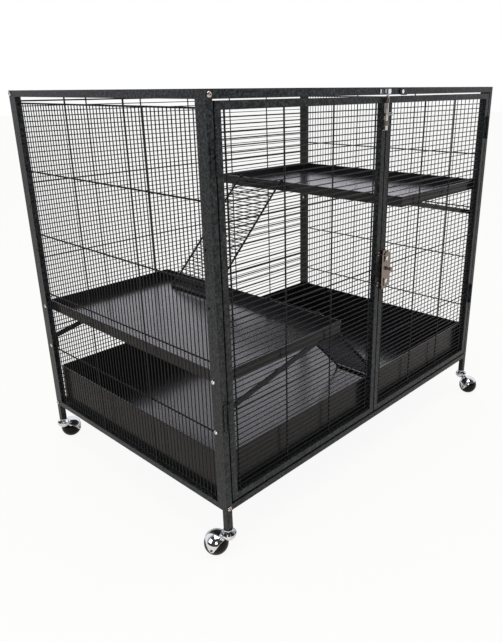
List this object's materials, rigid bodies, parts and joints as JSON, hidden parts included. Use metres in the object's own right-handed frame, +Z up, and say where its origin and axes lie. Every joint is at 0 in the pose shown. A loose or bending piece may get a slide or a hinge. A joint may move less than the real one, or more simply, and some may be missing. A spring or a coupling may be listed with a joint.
{
  "type": "ferret cage",
  "caption": "Two-door welded wire pet cage on ball casters, with a deep floor pan, two shelf trays and two hook-on ramps.",
  "frame": {"origin": "floor level, midway between the four posts", "axes": "+Z up, -Y the front with the two doors, +X to the right as seen from the front"},
  "size_m": [1.0013, 0.7241, 0.847],
  "materials": {
    "frame_paint": "dark grey hammered powder coat on steel tube",
    "wire_paint": "dark grey powder coat on welded wire",
    "sheet_paint": "glossy dark grey enamel on sheet steel",
    "chrome": "bright chrome plating",
    "ball_plastic": "black moulded nylon",
    "plug_plastic": "black moulded polyethylene"
  },
  "bodies": {
    "cage": {"front_left_post": "frame_paint", "front_right_post": "frame_paint", "rear_left_post": "frame_paint", "rear_right_post": "frame_paint", "front_rails": "frame_paint", "rear_rails": "frame_paint", "left_side_uprights": "frame_paint", "left_side_rails": "frame_paint", "right_side_uprights": "frame_paint", "right_side_rails": "frame_paint", "left_side_wires": "wire_paint", "right_side_wires": "wire_paint", "rear_wires": "wire_paint", "roof_wires": "wire_paint", "tube_plugs": "plug_plastic", "frame_bolts": "chrome", "nuts": "chrome", "pan_support_rods": "wire_paint", "bottom_pan": "sheet_paint", "mid_shelf_tray": "sheet_paint", "upper_shelf_tray": "sheet_paint", "shelf_braces": "frame_paint", "shelf_fasteners": "chrome", "post_hinge_leaves": "frame_paint", "hinge_pins": "frame_paint", "door_bolt_keeper": "chrome", "turn_button_screw": "chrome", "caster_stems": "chrome"},
    "left_door": {"left_door_stiles": "frame_paint", "left_door_rails": "frame_paint", "left_door_wires": "wire_paint", "left_door_hinge_leaves": "frame_paint", "door_bolt_base": "chrome", "centre_latch_strike": "chrome"},
    "right_door": {"right_door_stiles": "frame_paint", "right_door_rails": "frame_paint", "right_door_wires": "wire_paint", "right_door_hinge_leaves": "frame_paint", "centre_latch_base": "chrome", "centre_latch_screws": "chrome"},
    "door_bolt": {"door_bolt_rod": "chrome"},
    "centre_latch": {"centre_latch_slider": "chrome"},
    "turn_button": {"turn_button": "frame_paint"},
    "lower_ramp": {"lower_ramp_rods": "wire_paint", "lower_ramp_rungs": "wire_paint"},
    "upper_ramp": {"upper_ramp_rods": "wire_paint", "upper_ramp_rungs": "wire_paint"},
    "front_left_swivel": {"front_left_caster_hood": "chrome", "front_left_caster_axle": "chrome"},
    "front_left_ball": {"front_left_caster_ball": "ball_plastic"},
    "front_right_swivel": {"front_right_caster_hood": "chrome", "front_right_caster_axle": "chrome"},
    "front_right_ball": {"front_right_caster_ball": "ball_plastic"},
    "rear_left_swivel": {"rear_left_caster_hood": "chrome", "rear_left_caster_axle": "chrome"},
    "rear_left_ball": {"rear_left_caster_ball": "ball_plastic"},
    "rear_right_swivel": {"rear_right_caster_hood": "chrome", "rear_right_caster_axle": "chrome"},
    "rear_right_ball": {"rear_right_caster_ball": "ball_plastic"}
  },
  "joints": [
    {"name": "left_door_hinge", "type": "hinge", "parent": "cage", "child": "left_door", "pos_m": [-0.4557, -0.3205, 0.482], "axis": [0, 0, -1], "range_deg": [0, 180]},
    {"name": "right_door_hinge", "type": "hinge", "parent": "cage", "child": "right_door", "pos_m": [0.4557, -0.3205, 0.482], "axis": [0, 0, 1], "range_deg": [0, 180]},
    {"name": "door_bolt_slide", "type": "slide", "parent": "left_door", "child": "door_bolt", "axis": [0, 0, 1], "range_m": [0, 0.011]},
    {"name": "centre_latch_slide", "type": "slide", "parent": "right_door", "child": "centre_latch", "axis": [-1, 0, 0], "range_m": [0, 0.01]},
    {"name": "turn_button_pivot", "type": "hinge", "parent": "cage", "child": "turn_button", "pos_m": [0.05, -0.3175, 0.84], "axis": [0, 1, 0], "range_deg": [0, 90]},
    {"name": "lower_ramp_hinge", "type": "hinge", "parent": "cage", "child": "lower_ramp", "pos_m": [-0.114, -0.1615, 0.38], "axis": [0, -1, 0], "range_deg": [0, 60]},
    {"name": "upper_ramp_hinge", "type": "hinge", "parent": "cage", "child": "upper_ramp", "pos_m": [0.099, 0.1425, 0.616], "axis": [0, 1, 0], "range_deg": [0, 60]},
    {"name": "front_left_swivel", "type": "hinge", "parent": "cage", "child": "front_left_swivel", "pos_m": [-0.46365, -0.31115, 0.05], "axis": [0, 0, 1], "continuous": true},
    {"name": "front_left_roll", "type": "hinge", "parent": "front_left_swivel", "child": "front_left_ball", "pos_m": [-0.47568, -0.28754, 0.024], "axis": [0.6826, 0.3478, -0.6428], "continuous": true},
    {"name": "front_right_swivel", "type": "hinge", "parent": "cage", "child": "front_right_swivel", "pos_m": [0.46365, -0.31115, 0.05], "axis": [0, 0, 1], "continuous": true},
    {"name": "front_right_roll", "type": "hinge", "parent": "front_right_swivel", "child": "front_right_ball", "pos_m": [0.46088, -0.3375, 0.024], "axis": [0.7618, -0.0801, -0.6428], "continuous": true},
    {"name": "rear_left_swivel", "type": "hinge", "parent": "cage", "child": "rear_left_swivel", "pos_m": [-0.46365, 0.31115, 0.05], "axis": [0, 0, 1], "continuous": true},
    {"name": "rear_left_roll", "type": "hinge", "parent": "rear_left_swivel", "child": "rear_left_ball", "pos_m": [-0.44004, 0.32318, 0.024], "axis": [-0.3478, 0.6826, -0.6428], "continuous": true},
    {"name": "rear_right_swivel", "type": "hinge", "parent": "cage", "child": "rear_right_swivel", "pos_m": [0.46365, 0.31115, 0.05], "axis": [0, 0, 1], "continuous": true},
    {"name": "rear_right_roll", "type": "hinge", "parent": "rear_right_swivel", "child": "rear_right_ball", "pos_m": [0.47443, 0.33536, 0.024], "axis": [0.6998, -0.3116, -0.6428], "continuous": true}
  ]
}
